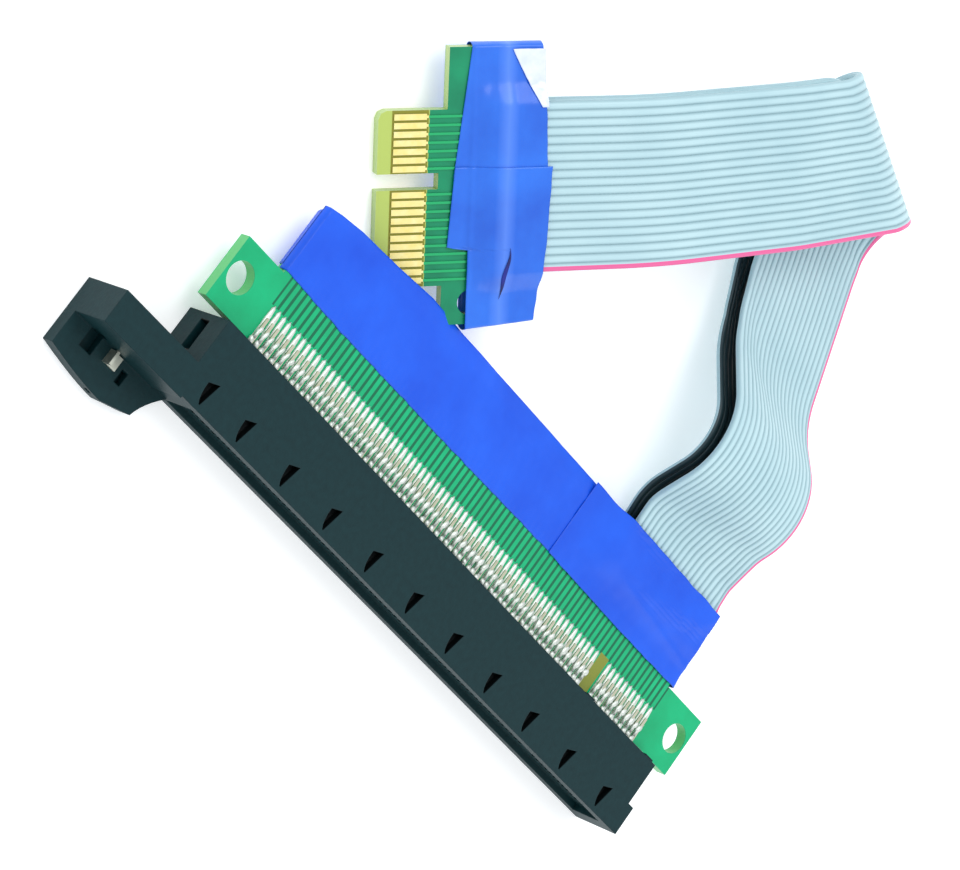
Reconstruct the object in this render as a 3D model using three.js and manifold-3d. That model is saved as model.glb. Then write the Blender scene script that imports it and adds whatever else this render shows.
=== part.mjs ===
// Riser cable: a long card slot on a small board, two stacked flat ribbons, and a short edge plug.
// Millimetres, +Z up. X runs along the slot, Y from the slot's mouth to the ribbons.
import * as THREE from 'three';
import { mergeVertices } from 'three/addons/utils/BufferGeometryUtils.js';
import Module from 'manifold-3d';

const wasm = await Module();
wasm.setup();

// Contact rows, shared by the slot and the plug
const pitch = 1.0;                  // from one contact to the next
const keyGap = 3.0;                 // from the contact before the key to the one after it
const slotContacts = 82;            // on each side of the slot
const plugContacts = 18;            // on each face of the plug
const nearContacts = 11;            // contacts on the short side of the key
const boardThickness = 1.6;
const slip = 0.1;                   // running clearance between fitted pieces
const lift = 0.05;                  // copper above the plug's board

// Slot housing
const housingThickness = 7.5;
const housingBack = -2.4;           // face that the contact tails leave
const flangeStep = -8.26;
const mouthFace = -12.24;
const baseStart = -5.9;             // past the last contact
const baseEndPast = 3.3;            // past the first contact
const flangeExtra = 1.1;
const slotWidth = 1.8;
const slotEndPast = 1.3;            // slot length past its end contacts
const slotDepth = 7.6;
const keyRib = 1.75;
const notchWidth = 0.6;
const notchDepth = 0.65;
const rearCavity = 1.2;             // room for the contacts' carrier behind the notches
const cavityHalf = 1.7;

// Pockets along the sides of the flange
const pocketCount = 10;
const pocketPitch = 8.57;
const pocketStart = 5.44;
const firstPocket = -1.6;
const pocketWidth = 1.6;
const pocketSlope = 0.65;           // its far corner is this much nearer the mouth
const pocketLength = 3.2;
const pocketTip = 0.85;             // from its straight side to its tip
const pocketDepth = 1.1;
const mouthRecess = { depth: 0.9, half: 2.45, past: 2.0 };
const endGroove = { half: 0.8, depth: 1.6, from: -3.3, to: -7.2 };
const backStud = { reach: 0.45, width: 1.6, half: 0.9 };

// Guide tail at the far end of the slot
const tailEnd = -18.9;
const tailBlockFront = -12.5;
const tailPlateThickness = 1.85;
const tailPlateReach = -17.7;
const tailPocket = { x: -14.9, y: -13.5, width: 2.0, length: 2.7, depth: 1.2 };
const outerNotch = { x: -10.9, width: 0.9, depth: 0.9, from: 0.8, to: 1.4 };
const tailSlit = { x: -8.9, y: -14.2, width: 1.0, length: 1.7, depth: 1.2 };
const clip = { x: -11.3, y: -13.5, width: 1.9, length: 1.7, height: 1.4, gauge: 0.4 };

// Slot contacts
const contactWidth = 0.42;
const contactGauge = 0.25;
const contactCarrier = 0.7;
const tailOnPad = 3.2;              // tail length over the board
const padWidth = 0.62;
const padEnd = 2.9;
const traceWidth = 0.3;
const traceGauge = 0.08;
const traceEnd = 8.2;
const traceBar = 0.6;

// Slot board
const slotBoardFront = -1.5;
const slotBoardStart = -8.42;
const slotBoardEndPast = 8.62;
const earDepth = 8.28;
const slotBoardDepth = 16.8;
const deepStart = -1.8;
const deepEndPast = 0.3;
const earHole = 3.9;
const earHoleInset = 2.33;
const earHoleFromFront = 4.2;

// Insulating tape
const tapeGauge = 0.22;
const tapeFront = 6.9;
const tapePastBoard = 2.4;
const tapeFlapShort = 0.5;          // left tape ends this much before the right one
const tapeSeam = 54.2;
const tapeOverWires = 0.1;

// Ribbons: flat strips that leave the plug and fold back to the slot board
const ribbonWidth = 20.0;
const ribbonGauge = 0.9;
const ribbonHalfSpacing = 1.35;     // each ribbon's middle from the boards' middle
const ribbonRun = 119.9;            // from the plug's tape to the slot board's tape
const ribbonStart = { x: 20.0, y: -8.45 };
const ribbonFromTape = 0.3;         // gap to both tapes
const ribbonUnderSlotTape = 3.0;
const ribbonStep = 2.0;
const ribbonConductors = 20;
const ribbonAtSlot = 71.9;          // middle of the ribbons where they meet the slot board
// Each bend: place along the strip, turn in degrees, radius, and slant of its line in degrees
const ribbonBends = [
  { at: 14.4, turn: 16.8, radius: 34.0, slant: 4.8 },
  { at: 35.9, turn: 8.6, radius: 25.0, slant: -0.2 },
  { at: 57.2, turn: 180.0, radius: 4.6, slant: 29.7 },
  { at: 71.9, turn: 4.7, radius: 30.0, slant: 3.2 },
  { at: 90.2, turn: 29.3, radius: 14.0, slant: 17.0 },
  { at: 103.6, turn: -79.0, radius: 8.0, slant: 7.9 },
  { at: 112.0, turn: 15.3, radius: 8.0, slant: -4.8 },
  { at: 116.3, turn: 16.2, radius: 7.0, slant: 8.7 },
];

// Stripped conductors soldered to the boards under the tape
const wireWidth = 0.4;
const wireGauge = 0.3;
const wireLength = 6.0;
const wireCarrier = 0.5;

// Plug board, x from its tongue's edge to the ribbons, y from the last contact
const plugPlace = { x: -1.83, y: 28.66, z: -2.97 };
const plugTurn = { x: 13.88, y: -13.41, z: 45.83 };
const tongueLength = 8.25;
const tongueMargin = 0.75;
const tongueCorner = 1.0;
const plugNotchWidth = 1.9;
const plugNotchDepth = 7.4;
const plugBoardTop = 7.9;
const plugBoardBottom = -24.4;
const plugBoardDepth = 18.5;
const plugHole = { x: 11.75, y: -21.85, diameter: 3.0 };
const fingerStart = 1.83;
const fingerEnd = 5.73;
const fingerWidth = 0.7;
const fingerGauge = 0.1;
const plugTraceWidth = 0.3;
const plugTraceEnd = 11.6;
const plugTraceBar = 0.4;
const plugTapeSeam = -5.9;
const plugTapeFront = 8.7;
const plugTapeLowFront = 11.1;
const plugTapeLowStep = -15.4;
const plugTapeBack = 21.2;
const plugTapeMargin = 0.2;
const plugTapeGap = 0.3;            // between the two tapes at their seam
const clearTapeDepth = 4.2;
const clearTapeWidth = 6.4;

const tapeBack = slotBoardFront + slotBoardDepth + tapePastBoard;
const pinOneX = (slotContacts - nearContacts - 1) * pitch + keyGap + (nearContacts - 1) * pitch;
const baseEnd = pinOneX + baseEndPast;
const slotBoardEnd = pinOneX + slotBoardEndPast;
const deepEnd = pinOneX + deepEndPast;
const boardFace = boardThickness / 2;
const housingHalf = housingThickness / 2;
const contactFace = slotWidth / 2 + slip / 2;

// Places of a row of contacts, from the one farthest from the key's short side
function contactRow(count) {
  const places = [];
  for (let i = 0; i < count; i += 1) {
    const afterKey = i >= count - nearContacts;
    places.push(i * pitch + (afterKey ? keyGap - pitch : 0));
  }
  return places;
}

function outline(points) {
  return new THREE.Shape(points.map(([x, y]) => new THREE.Vector2(x, y)));
}

// A flat piece: an outline in X and Y from one height to another
function plate(shape, bottom, top, curveSegments = 6) {
  const geometry = new THREE.ExtrudeGeometry(shape, {
    depth: top - bottom,
    bevelEnabled: false,
    curveSegments,
  });
  geometry.translate(0, 0, bottom);
  return geometry;
}

// A long piece: an outline in X and Z from one Y to a lower one
function alongY(shape, fromY, toY) {
  const geometry = new THREE.ExtrudeGeometry(shape, {
    depth: fromY - toY,
    bevelEnabled: false,
    curveSegments: 6,
  });
  geometry.rotateX(Math.PI / 2);
  geometry.translate(0, fromY, 0);
  return geometry;
}

// A piece with one outline in Y and Z along X
function alongX(shape, fromX, toX) {
  const geometry = new THREE.ExtrudeGeometry(shape, { depth: toX - fromX, bevelEnabled: false });
  geometry.rotateY(Math.PI / 2);
  geometry.rotateX(Math.PI / 2);
  geometry.translate(fromX, 0, 0);
  return geometry;
}

function block(x0, x1, y0, y1, z0, z1) {
  const geometry = new THREE.BoxGeometry(x1 - x0, y1 - y0, z1 - z0);
  geometry.translate((x0 + x1) / 2, (y0 + y1) / 2, (z0 + z1) / 2);
  return geometry;
}

function solid(geometry) {
  const bare = geometry.clone();
  bare.deleteAttribute('normal');
  bare.deleteAttribute('uv');
  const merged = mergeVertices(bare, 1e-4);
  return new wasm.Manifold(new wasm.Mesh({
    numProp: 3,
    vertProperties: merged.attributes.position.array,
    triVerts: new Uint32Array(merged.index.array),
  }));
}

function fromSolid(body) {
  const mesh = body.getMesh();
  const geometry = new THREE.BufferGeometry();
  geometry.setAttribute('position', new THREE.BufferAttribute(mesh.vertProperties, 3));
  geometry.setIndex(new THREE.BufferAttribute(mesh.triVerts, 1));
  geometry.computeVertexNormals();
  return geometry;
}

function joined(...geometries) {
  return geometries.map(solid).reduce((whole, next) => whole.add(next));
}

// The same piece on the other side of the board: its triangles turn round as it is flipped
function flippedInZ(geometry) {
  const flipped = geometry.index ? geometry.toNonIndexed() : geometry.clone();
  const position = flipped.attributes.position;
  const corner = new THREE.Vector3();
  const other = new THREE.Vector3();
  for (let i = 0; i < position.count; i += 3) {
    corner.fromBufferAttribute(position, i + 1);
    other.fromBufferAttribute(position, i + 2);
    position.setXYZ(i + 1, other.x, other.y, -other.z);
    position.setXYZ(i + 2, corner.x, corner.y, -corner.z);
    position.setZ(i, -position.getZ(i));
  }
  flipped.computeVertexNormals();
  return flipped;
}

const finishes = {
  housing: { color: 0x24383c, roughness: 0.55, metalness: 0.0 },
  contact: { color: 0xcfc9b4, roughness: 0.35, metalness: 0.9 },
  board: { color: 0x14b878, roughness: 0.45, metalness: 0.0 },
  tape: { color: 0x2a52e8, roughness: 0.35, metalness: 0.0 },
  clearTape: { color: 0xc9d4f4, roughness: 0.2, metalness: 0.0 },
  ribbon: { color: 0xb4d2d6, roughness: 0.5, metalness: 0.0 },
  wire: { color: 0xc98a5a, roughness: 0.4, metalness: 0.9 },
  gold: { color: 0xf2d66a, roughness: 0.3, metalness: 0.9 },
  tinned: { color: 0xc8ccc8, roughness: 0.35, metalness: 0.9 },
  steel: { color: 0xc4c6c0, roughness: 0.35, metalness: 0.9 },
};

function piece(name, geometry, finish) {
  const mesh = new THREE.Mesh(geometry, new THREE.MeshStandardMaterial(finishes[finish]));
  mesh.name = name;
  return mesh;
}

// One stretch of the slot's opening in X and Z, with a notch for each contact on both sides
function slotOpening(startX, endX, places) {
  const half = slotWidth / 2;
  const deep = half + notchDepth;
  const upper = [];
  for (const x of places) {
    upper.push([x - notchWidth / 2, half], [x - notchWidth / 2, deep]);
    upper.push([x + notchWidth / 2, deep], [x + notchWidth / 2, half]);
  }
  const lower = upper.map(([x, z]) => [x, -z]).reverse();
  return outline([[startX, -half], [startX, half], ...upper, [endX, half], [endX, -half], ...lower]);
}

// Side pockets have a straight side towards the key, and narrow to a tip at the mouth
function pocketShape(x) {
  const top = flangeStep - slip;
  const far = x - pocketWidth;
  const bottom = top - pocketLength;
  const shape = new THREE.Shape();
  shape.moveTo(x, top);
  shape.lineTo(far, top - pocketSlope);
  shape.quadraticCurveTo(far, bottom + pocketLength / 4, x - pocketTip - slip, bottom);
  shape.lineTo(x - pocketTip + slip, bottom);
  shape.lineTo(x, top);
  return shape;
}

function tailPlateShape() {
  const joinX = baseStart + 3.6;
  const shape = new THREE.Shape();
  shape.moveTo(tailEnd, flangeStep);
  shape.lineTo(tailEnd, tailPlateReach + 1.0);
  shape.quadraticCurveTo(tailEnd + 6.0, tailPlateReach, tailEnd + 9.6, tailPlateReach);
  shape.lineTo(tailEnd + 13.9, tailPlateReach + 1.2);
  shape.quadraticCurveTo(joinX - 2.2, mouthFace - 2.2, joinX, mouthFace);
  shape.lineTo(joinX, flangeStep);
  return shape;
}

function pitAt({ x, y, width, length, depth }, surface) {
  return block(x - width / 2, x + width / 2, y - length / 2, y + length / 2, surface - depth, surface + 1);
}

// A small stud on the back face, above the board
function studAt(x) {
  const low = boardFace + contactGauge + slip;
  const back = housingBack + backStud.reach;
  return block(x, x + backStud.width, housingBack, back, low, low + 2 * backStud.half);
}

function slotHousing() {
  const plateTop = -housingHalf + tailPlateThickness;
  const places = contactRow(slotContacts);
  const key = (places[slotContacts - nearContacts - 1] + places[slotContacts - nearContacts]) / 2;
  let body = joined(
    block(baseStart, baseEnd, flangeStep - 0.5, housingBack, -housingHalf, housingHalf),
    block(baseStart - 0.3, baseEnd + flangeExtra, mouthFace, flangeStep, -housingHalf, housingHalf),
    block(tailEnd, baseStart + 1.0, tailBlockFront, flangeStep, -housingHalf, housingHalf),
    plate(tailPlateShape(), -housingHalf, plateTop),
    studAt(key - backStud.width / 2),
    studAt(baseEnd - backStud.width),
  );
  const bottom = mouthFace + slotDepth;
  const long = places.slice(0, slotContacts - nearContacts);
  const short = places.slice(slotContacts - nearContacts);
  const longOpening = slotOpening(-slotEndPast, key - keyRib / 2, long);
  const shortOpening = slotOpening(key + keyRib / 2, pinOneX + slotEndPast, short);
  body = body.subtract(solid(alongY(longOpening, bottom, mouthFace - 1)));
  body = body.subtract(solid(alongY(shortOpening, bottom, mouthFace - 1)));
  const cavityEnd = pinOneX + slotEndPast;
  const cavity = block(-slotEndPast, cavityEnd, bottom - rearCavity, bottom, -cavityHalf, cavityHalf);
  body = body.subtract(solid(cavity));
  const slitStart = -contactWidth;
  const slitEnd = pinOneX + contactWidth;
  for (const side of [-1, 1]) {
    const faces = [side * (contactFace - slip), side * (contactFace + contactGauge + slip)];
    const slitBack = housingBack + 1;
    const slit = block(slitStart, slitEnd, bottom - 0.2, slitBack, Math.min(...faces), Math.max(...faces));
    body = body.subtract(solid(slit));
    for (let i = -1; i < pocketCount; i += 1) {
      const shape = pocketShape(i < 0 ? firstPocket : pocketStart + i * pocketPitch);
      const inner = side * (housingHalf - pocketDepth);
      const outer = side * (housingHalf + 1);
      body = body.subtract(solid(plate(shape, Math.min(inner, outer), Math.max(inner, outer), 4)));
    }
  }
  const { depth, half, past } = mouthRecess;
  const recess = block(-past, pinOneX + past, mouthFace - 1, mouthFace + depth, -half, half);
  body = body.subtract(solid(recess));
  const groove = block(baseStart - 1, baseStart + endGroove.depth, endGroove.to, endGroove.from,
    -endGroove.half, endGroove.half);
  body = body.subtract(solid(groove));
  const notch = block(outerNotch.x - outerNotch.width / 2, outerNotch.x + outerNotch.width / 2,
    tailPlateReach - 1, tailPlateReach + outerNotch.depth, -housingHalf + outerNotch.from,
    -housingHalf + outerNotch.to);
  body = body.subtract(solid(notch));
  body = body.subtract(solid(pitAt(tailPocket, plateTop)));
  body = body.subtract(solid(pitAt(tailSlit, plateTop)));
  return fromSolid(body);
}

// A row of contacts: tails over the board and a carrier strip inside the housing
function contactComb() {
  const carrierBack = mouthFace + slotDepth - 0.25;
  const carrierFront = carrierBack - contactCarrier;
  const tip = slotBoardFront + tailOnPad;
  const points = [[-contactWidth / 2, carrierFront]];
  points.push([pinOneX + contactWidth / 2, carrierFront]);
  for (const x of contactRow(slotContacts).reverse()) {
    points.push([x + contactWidth / 2, carrierBack], [x + contactWidth / 2, tip]);
    points.push([x - contactWidth / 2, tip], [x - contactWidth / 2, carrierBack]);
  }
  const cleaned = points.filter((point, i) => i === 0 || point.some((c, j) => c !== points[i - 1][j]));
  return plate(outline(cleaned), contactFace, contactFace + contactGauge);
}

// Copper on the slot board: a pad under each tail and its trace, joined where the tape hides them
function traceComb() {
  const pad = padWidth / 2;
  const trace = traceWidth / 2;
  const front = slotBoardFront + 0.3;
  const end = traceEnd + traceBar;
  const row = contactRow(slotContacts);
  const points = [[pinOneX + trace, end], [-trace, end]];
  row.forEach((x, i) => {
    if (i > 0) {
      points.push([x - trace, traceEnd]);
    }
    points.push([x - trace, padEnd], [x - pad, padEnd], [x - pad, front]);
    points.push([x + pad, front], [x + pad, padEnd], [x + trace, padEnd]);
    if (i < slotContacts - 1) {
      points.push([x + trace, traceEnd]);
    }
  });
  return plate(outline(points), boardFace, boardFace + traceGauge);
}

function slotBoard() {
  const earBack = slotBoardFront + earDepth;
  const back = slotBoardFront + slotBoardDepth;
  const shape = outline([
    [slotBoardStart, slotBoardFront],
    [slotBoardEnd, slotBoardFront],
    [slotBoardEnd, earBack],
    [deepEnd, earBack],
    [deepEnd, back],
    [deepStart, back],
    [deepStart, earBack],
    [slotBoardStart, earBack],
  ]);
  for (const x of [slotBoardStart + earHoleInset, slotBoardEnd - earHoleInset]) {
    const hole = new THREE.Path();
    hole.absarc(x, slotBoardFront + earHoleFromFront, earHole / 2, 0, 2 * Math.PI, true);
    shape.holes.push(hole);
  }
  return plate(shape, -boardFace, boardFace, 20);
}

// Tape over the bare part of the slot board, with a flap past its back edge
function slotTapeLeft() {
  const under = boardFace + traceGauge;
  const over = under + tapeGauge;
  const edge = slotBoardFront + slotBoardDepth + slip;
  const shape = outline([
    [tapeFront, under],
    [edge, under],
    [edge, -under],
    [tapeFront, -under],
    [tapeFront, -over],
    [edge + tapeGauge, -over],
    [edge + tapeGauge, under],
    [tapeBack - tapeFlapShort, under],
    [tapeBack - tapeFlapShort, over],
    [tapeFront, over],
  ]);
  return alongX(shape, deepStart - 0.3, tapeSeam);
}

// Tape over the soldered ribbons, open at the back where they leave
function slotTapeRight() {
  const under = boardFace + slip + wireGauge + tapeOverWires;
  const over = under + tapeGauge;
  const end = deepEnd + 0.3;
  const lip = 0.8;
  const parts = [block(end, end + tapeGauge, tapeFront, tapeBack, -over, over)];
  for (const side of [-1, 1]) {
    const low = Math.min(side * under, side * over);
    const high = Math.max(side * under, side * over);
    const foot = Math.min(side * (boardFace + traceGauge), side * over);
    const head = Math.max(side * (boardFace + traceGauge), side * over);
    parts.push(block(tapeSeam, end + tapeGauge, tapeFront, tapeBack, low, high));
    parts.push(block(tapeSeam, deepEnd, tapeFront, tapeFront + lip, foot, head));
  }
  return fromSolid(joined(...parts));
}

// Stripped conductors: teeth on the board's face and the strip where they leave the ribbon
function wireComb(middle, tip, root, bottom) {
  const towards = Math.sign(tip - root);
  const places = [];
  for (let i = 0; i < ribbonConductors; i += 1) {
    places.push(middle + (i - (ribbonConductors - 1) / 2) * pitch);
  }
  const step = root + towards * wireCarrier;
  const points = [[places[0] - wireWidth / 2, root], [places[ribbonConductors - 1] + wireWidth / 2, root]];
  for (const x of places.reverse()) {
    const right = [x + wireWidth / 2, step];
    if (x !== places[0]) {
      points.push(right);
    }
    points.push([x + wireWidth / 2, tip], [x - wireWidth / 2, tip]);
    if (x !== places[ribbonConductors - 1]) {
      points.push([x - wireWidth / 2, step]);
    }
  }
  return plate(outline(points), bottom, bottom + wireGauge);
}

// One slanted bend of a flat strip towards its own lower side
function bendStrip(point, bend) {
  const turn = THREE.MathUtils.degToRad(bend.turn);
  const slant = THREE.MathUtils.degToRad(bend.slant);
  const side = Math.sign(turn);
  const sweep = Math.abs(turn);
  const arc = sweep * bend.radius;
  const x = point.x - bend.at;
  const along = x * Math.cos(slant) + point.y * Math.sin(slant) + arc / 2;
  const across = point.y * Math.cos(slant) - x * Math.sin(slant);
  const angle = Math.min(Math.max(along / bend.radius, 0), sweep);
  const past = Math.max(along - arc, 0);
  const reach = bend.radius + side * point.z;
  const run = Math.min(along, 0) + reach * Math.sin(angle) + past * Math.cos(angle) - arc / 2;
  point.z = side * (reach * Math.cos(angle) - past * Math.sin(angle) - bend.radius);
  point.x = run * Math.cos(slant) - across * Math.sin(slant) + bend.at;
  point.y = run * Math.sin(slant) + across * Math.cos(slant);
}

// A ribbon as a straight strip, bent from its last bend back to its first
function ribbon(height) {
  const half = ribbonWidth / 2;
  const face = ribbonGauge / 2;
  const across = [-half, -half / 2, 0, half / 2, half];
  const start = plugTapeBack + ribbonFromTape - ribbonStart.x;
  const section = outline([
    ...across.map((y) => [y, -face]),
    ...across.map((y) => [y, face]).reverse(),
  ]);
  const length = ribbonRun + ribbonUnderSlotTape - start;
  const geometry = new THREE.ExtrudeGeometry(section, {
    depth: length,
    steps: Math.round(length / ribbonStep),
    bevelEnabled: false,
  });
  const position = geometry.attributes.position;
  const point = new THREE.Vector3();
  for (let i = 0; i < position.count; i += 1) {
    point.set(position.getZ(i) + start, position.getX(i), position.getY(i) + height);
    for (const bend of [...ribbonBends].reverse()) {
      bendStrip(point, bend);
    }
    point.x += ribbonStart.x;
    point.y += ribbonStart.y;
    point.applyMatrix4(plugEnd.matrix);
    position.setXYZ(i, point.x, point.y, Math.max(point.z, -housingHalf));
  }
  const tape = block(tapeSeam, slotBoardEnd, -housingThickness, tapeBack + ribbonFromTape, -9, 9);
  return fromSolid(solid(geometry).subtract(solid(tape)));
}

function plugBoard() {
  const row = contactRow(plugContacts).map((place) => -place);
  const top = row[0] + tongueMargin;
  const bottom = row[plugContacts - 1] - tongueMargin;
  const key = (row[plugContacts - nearContacts - 1] + row[plugContacts - nearContacts]) / 2;
  const half = plugNotchWidth / 2;
  const shape = outline([
    [0, top - tongueCorner],
    [0, key + half],
    [plugNotchDepth, key + half],
    [plugNotchDepth, key - half],
    [0, key - half],
    [0, bottom + tongueCorner],
    [tongueCorner * 0.3, bottom + tongueCorner * 0.3],
    [tongueCorner, bottom],
    [tongueLength, bottom],
    [tongueLength, plugBoardBottom],
    [plugBoardDepth, plugBoardBottom],
    [plugBoardDepth, plugBoardTop],
    [tongueLength, plugBoardTop],
    [tongueLength, top],
    [tongueCorner, top],
    [tongueCorner * 0.3, top - tongueCorner * 0.3],
  ]);
  const hole = new THREE.Path();
  hole.absarc(plugHole.x, plugHole.y, plugHole.diameter / 2, 0, 2 * Math.PI, true);
  shape.holes.push(hole);
  return plate(shape, -boardFace, boardFace, 16);
}

// Gold fingers with their traces, joined where the tape hides them
function fingerComb() {
  const row = contactRow(plugContacts).map((place) => -place);
  const finger = fingerWidth / 2;
  const trace = plugTraceWidth / 2;
  const barEnd = plugTraceEnd + plugTraceBar;
  const points = [[barEnd, row[plugContacts - 1] - trace], [barEnd, row[0] + trace]];
  row.forEach((y, i) => {
    if (i > 0) {
      points.push([plugTraceEnd, y + trace]);
    }
    points.push([fingerEnd, y + trace], [fingerEnd, y + finger], [fingerStart, y + finger]);
    points.push([fingerStart, y - finger], [fingerEnd, y - finger], [fingerEnd, y - trace]);
    if (i < plugContacts - 1) {
      points.push([plugTraceEnd, y - trace]);
    }
  });
  return plate(outline(points), boardFace + lift, boardFace + lift + fingerGauge);
}

const plugTapeUnder = boardFace + slip + wireGauge + tapeOverWires;

// A tape sheet on both faces of the plug board, closed round one end of it
function plugTape(shape, endY, endX) {
  const over = plugTapeUnder + tapeGauge;
  const outer = endY + Math.sign(endY - plugTapeSeam) * tapeGauge;
  return fromSolid(joined(
    plate(shape, plugTapeUnder, over),
    plate(shape, -over, -plugTapeUnder),
    block(endX, plugTapeBack, Math.min(endY, outer), Math.max(endY, outer), -over, over),
  ));
}

function plugTapeUpper() {
  const end = plugBoardTop + plugTapeMargin;
  const front = plugTapeFront + 2.2;
  const shape = outline([
    [front, end + tapeGauge],
    [plugTapeFront + 0.3, plugTapeSeam + plugTapeGap / 2],
    [plugTapeBack - 0.3, plugTapeSeam + plugTapeGap / 2],
    [plugTapeBack, end + tapeGauge],
  ]);
  return plugTape(shape, end, front);
}

function plugTapeLower() {
  const end = plugBoardBottom - plugTapeMargin;
  const shape = outline([
    [plugTapeFront + 0.3, plugTapeSeam - plugTapeGap / 2],
    [plugTapeFront, plugTapeLowStep],
    [plugTapeLowFront, plugTapeLowStep],
    [plugTapeLowFront, end - tapeGauge],
    [plugTapeBack, end - tapeGauge],
    [plugTapeBack, plugTapeSeam - plugTapeGap / 2],
  ]);
  return plugTape(shape, end, plugTapeLowFront);
}

function plugTapeClear() {
  const end = plugBoardTop + plugTapeMargin + tapeGauge;
  const bottom = plugTapeUnder + tapeGauge + lift;
  const front = plugTapeBack - clearTapeDepth;
  return block(front, plugTapeBack, end - clearTapeWidth, end, bottom, bottom + tapeGauge);
}

function tailClip() {
  const bottom = -housingHalf + tailPlateThickness;
  const left = clip.x - clip.width / 2;
  const front = clip.y - clip.length / 2;
  return fromSolid(joined(
    block(left, left + clip.width, front, front + clip.length, bottom, bottom + clip.gauge),
    block(left, left + clip.gauge, front, front + clip.length, bottom, bottom + clip.height),
  ));
}

const slotWiresRoot = tapeBack - 0.5;
const wireBottom = boardFace + slip;
const slotWires = wireComb(ribbonAtSlot, slotWiresRoot - wireLength, slotWiresRoot, wireBottom);
const plugWires = wireComb(-ribbonStart.y, plugBoardDepth - wireLength, plugBoardDepth, wireBottom);
plugWires.rotateZ(-Math.PI / 2);

const slotEnd = new THREE.Group();
slotEnd.add(
  piece('slot_housing', slotHousing(), 'housing'),
  piece('slot_contacts_upper', contactComb(), 'contact'),
  piece('slot_contacts_lower', flippedInZ(contactComb()), 'contact'),
  piece('tail_clip', tailClip(), 'steel'),
  piece('slot_board', slotBoard(), 'board'),
  piece('slot_traces_upper', traceComb(), 'tinned'),
  piece('slot_traces_lower', flippedInZ(traceComb()), 'tinned'),
  piece('slot_wires_upper', slotWires, 'wire'),
  piece('slot_wires_lower', flippedInZ(slotWires), 'wire'),
  piece('slot_tape_left', slotTapeLeft(), 'tape'),
  piece('slot_tape_right', slotTapeRight(), 'tape'),
);

const plugEnd = new THREE.Group();
plugEnd.position.set(plugPlace.x, plugPlace.y, plugPlace.z);
plugEnd.rotation.set(
  THREE.MathUtils.degToRad(plugTurn.x),
  THREE.MathUtils.degToRad(plugTurn.y),
  THREE.MathUtils.degToRad(plugTurn.z),
);
plugEnd.updateMatrix();
plugEnd.add(
  piece('plug_board', plugBoard(), 'board'),
  piece('plug_fingers_front', fingerComb(), 'gold'),
  piece('plug_fingers_back', flippedInZ(fingerComb()), 'gold'),
  piece('plug_wires_front', plugWires, 'wire'),
  piece('plug_wires_back', flippedInZ(plugWires), 'wire'),
  piece('plug_tape_upper', plugTapeUpper(), 'tape'),
  piece('plug_tape_lower', plugTapeLower(), 'tape'),
  piece('plug_tape_clear', plugTapeClear(), 'clearTape'),
);
slotEnd.add(
  plugEnd,
  piece('ribbon_outer', ribbon(ribbonHalfSpacing), 'ribbon'),
  piece('ribbon_inner', ribbon(-ribbonHalfSpacing), 'ribbon'),
);

// The origin is under the middle of the slot end, which lies on its side
const riser = new THREE.Group();
slotEnd.position.set(-(tailEnd + slotBoardEnd) / 2, -(tailPlateReach + tapeBack) / 2, housingHalf);
riser.add(slotEnd);

export default riser;
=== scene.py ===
import math
import random
import bpy
import bmesh
from mathutils import Matrix, Vector, noise


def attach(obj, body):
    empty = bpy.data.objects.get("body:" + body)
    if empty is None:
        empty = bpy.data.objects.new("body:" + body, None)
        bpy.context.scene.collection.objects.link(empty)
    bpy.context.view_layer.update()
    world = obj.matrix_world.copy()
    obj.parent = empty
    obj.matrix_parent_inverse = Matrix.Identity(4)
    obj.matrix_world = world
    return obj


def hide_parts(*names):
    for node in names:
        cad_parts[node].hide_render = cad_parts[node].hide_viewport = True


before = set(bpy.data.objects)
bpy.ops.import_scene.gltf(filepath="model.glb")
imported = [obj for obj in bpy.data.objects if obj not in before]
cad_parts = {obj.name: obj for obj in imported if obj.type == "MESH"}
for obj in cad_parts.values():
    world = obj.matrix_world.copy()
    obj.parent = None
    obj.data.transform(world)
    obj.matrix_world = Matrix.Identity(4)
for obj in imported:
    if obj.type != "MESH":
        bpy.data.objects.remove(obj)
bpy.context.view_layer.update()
scene = bpy.context.scene
print("stage: frame loaded")

# Sizes are in millimetres: X from the slot's last contact, Z from the slot board's middle plane
millimetre = 0.001
rowShift = Vector((-36.36, 0.0, 3.75))

# How the photograph was taken, worked out from the contacts and the plug's fingers
shot = {
    "focal": 3812.0,           # in pixels
    "width": 960.0,
    "sensor": 36.0,
    "clip": (0.01, 20.0),      # in metres
    "right": Vector((0.5311, 0.5672, 0.6295)),
    "down": Vector((0.5797, -0.785, 0.2183)),
    "ahead": Vector((0.618, 0.249, -0.7457)),
    "offset": Vector((-24.62, -11.61, 421.97)),
    "faceHeight": 0.8,         # the contacts lie on the board's upper face
}


def toRow(point):
    return (point + rowShift) * millimetre


def setCamera():
    data = bpy.data.cameras.new("Camera")
    data.sensor_width = shot["sensor"]
    data.lens = shot["focal"] / shot["width"] * shot["sensor"]
    data.clip_start, data.clip_end = shot["clip"]
    camera = bpy.data.objects.new("Camera", data)
    scene.collection.objects.link(camera)
    right = shot["right"].normalized()
    down = shot["down"].normalized()
    ahead = shot["ahead"].normalized()
    offset = shot["offset"]
    eye = -(right * offset.x + down * offset.y + ahead * offset.z)
    eye.z += shot["faceHeight"]
    turn = Matrix((right, -down, -ahead)).transposed().to_4x4()
    camera.matrix_world = Matrix.Translation(toRow(eye)) @ turn
    scene.camera = camera


setCamera()

# Small tools


def smooth(low, high, value):
    t = min(max((value - low) / (high - low), 0.0), 1.0)
    return t * t * (3.0 - 2.0 * t)


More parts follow.
